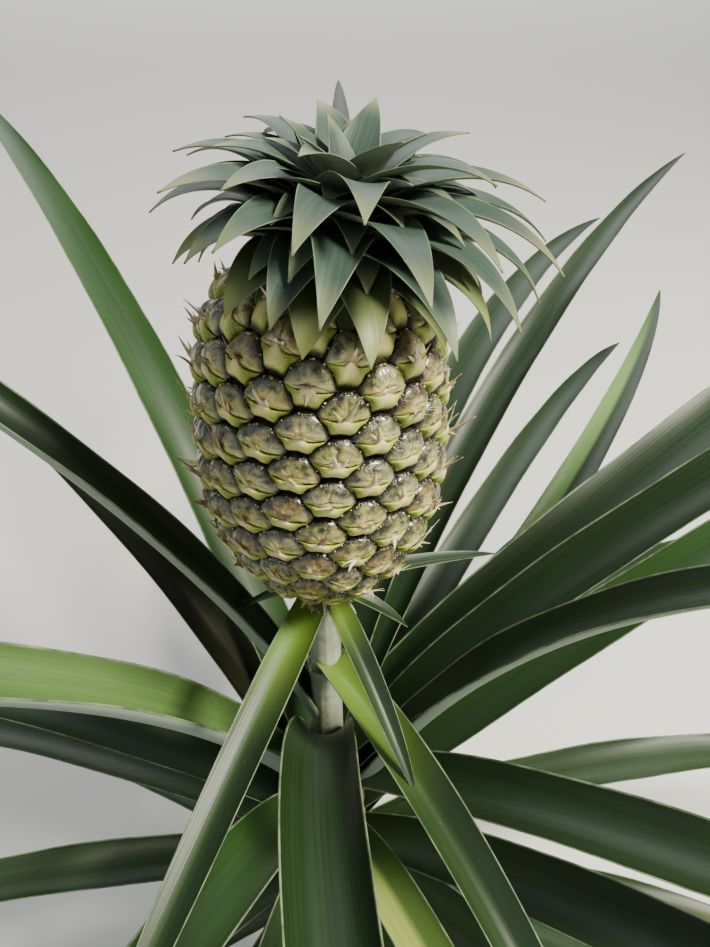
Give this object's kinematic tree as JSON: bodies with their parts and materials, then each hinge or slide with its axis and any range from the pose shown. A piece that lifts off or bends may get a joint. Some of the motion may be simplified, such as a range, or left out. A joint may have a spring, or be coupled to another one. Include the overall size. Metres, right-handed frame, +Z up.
{
  "type": "pineapple plant",
  "caption": "Pineapple plant in fruit: short stem, rosette of long channelled leaves, and an upright fruit with a leafy crown on a stalk.",
  "frame": {"origin": "middle of the flat cut under the stem, at ground level", "axes": "+Z up along the stem, -Y towards the viewer in the picture's front view, +X to the viewer's right"},
  "size_m": [1.2001, 1.1339, 0.7288],
  "materials": {
    "stem": "rough, ringed with old leaf bases",
    "stalk": "matte with a pale bloom",
    "fruit": "waxy domed eyes with matte pale bracts",
    "crown": "matte with a waxy bloom",
    "leaf": "smooth and slightly glossy above, silvery below",
    "old_leaf": "smooth and slightly glossy above, silvery below",
    "stalk_leaf": "smooth and slightly glossy above"
  },
  "bodies": {
    "root": {"stem": "stem", "stalk": "stalk", "fruit": "fruit", "crown": "crown", "leaf_1": "leaf", "leaf_2": "leaf", "leaf_3": "leaf", "leaf_4": "leaf", "leaf_5": "leaf", "leaf_6": "leaf", "leaf_7": "leaf", "leaf_8": "leaf", "leaf_9": "leaf", "leaf_10": "leaf", "leaf_11": "leaf", "leaf_12": "leaf", "leaf_13": "leaf", "leaf_14": "leaf", "leaf_15": "leaf", "leaf_16": "leaf", "leaf_17": "leaf", "leaf_18": "leaf", "leaf_19": "leaf", "old_leaf_2": "old_leaf", "old_leaf_3": "old_leaf", "old_leaf_4": "old_leaf", "old_leaf_5": "old_leaf", "old_leaf_6": "old_leaf", "old_leaf_7": "old_leaf", "old_leaf_8": "old_leaf", "old_leaf_10": "old_leaf", "old_leaf_11": "old_leaf", "old_leaf_12": "old_leaf", "old_leaf_13": "old_leaf", "old_leaf_14": "old_leaf", "old_leaf_15": "old_leaf", "old_leaf_17": "old_leaf", "old_leaf_18": "old_leaf", "old_leaf_19": "old_leaf", "old_leaf_20": "old_leaf", "old_leaf_21": "old_leaf", "stalk_leaf_1": "stalk_leaf", "stalk_leaf_2": "stalk_leaf", "stalk_leaf_3": "stalk_leaf", "stalk_leaf_4": "stalk_leaf", "stalk_leaf_5": "stalk_leaf", "stalk_leaf_6": "stalk_leaf"}
  },
  "joints": []
}
